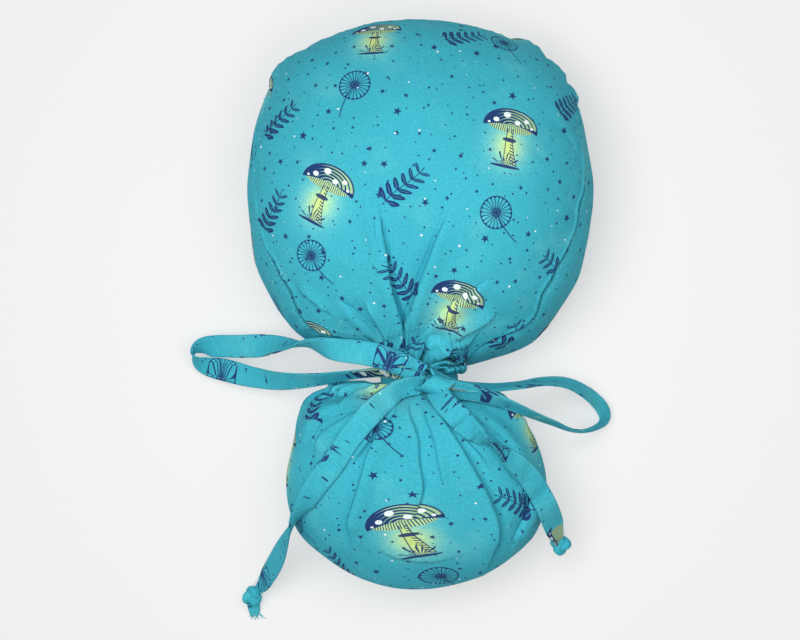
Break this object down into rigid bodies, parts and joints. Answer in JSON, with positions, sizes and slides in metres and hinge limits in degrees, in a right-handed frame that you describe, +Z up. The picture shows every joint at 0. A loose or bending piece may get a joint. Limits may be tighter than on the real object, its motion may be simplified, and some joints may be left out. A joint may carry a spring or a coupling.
{
  "type": "surgical scrub cap",
  "caption": "Soft domed surgical cap with a gathered nape, a stuffed ponytail pouch below it and cloth ties in a bow.",
  "frame": {"origin": "centre of the bounding box in plan, on the table that the cap lies on", "axes": "+Y from the nape to the forehead, +X to the right as seen in the picture, +Z up off the table"},
  "size_m": [0.253, 0.3482, 0.1128],
  "materials": {
    "crown_cloth": "fine cotton twill, printed",
    "band_cloth": "fine cotton twill, printed",
    "pouch_cloth": "fine cotton twill, printed",
    "tie_cloth": "fine cotton twill, folded and topstitched"
  },
  "bodies": {
    "root": {"crown": "crown_cloth", "band": "band_cloth", "pouch": "pouch_cloth", "cinch": "tie_cloth", "knot": "tie_cloth", "loop_left": "tie_cloth", "loop_right": "tie_cloth", "tail_left": "tie_cloth", "tail_right": "tie_cloth"}
  },
  "joints": []
}
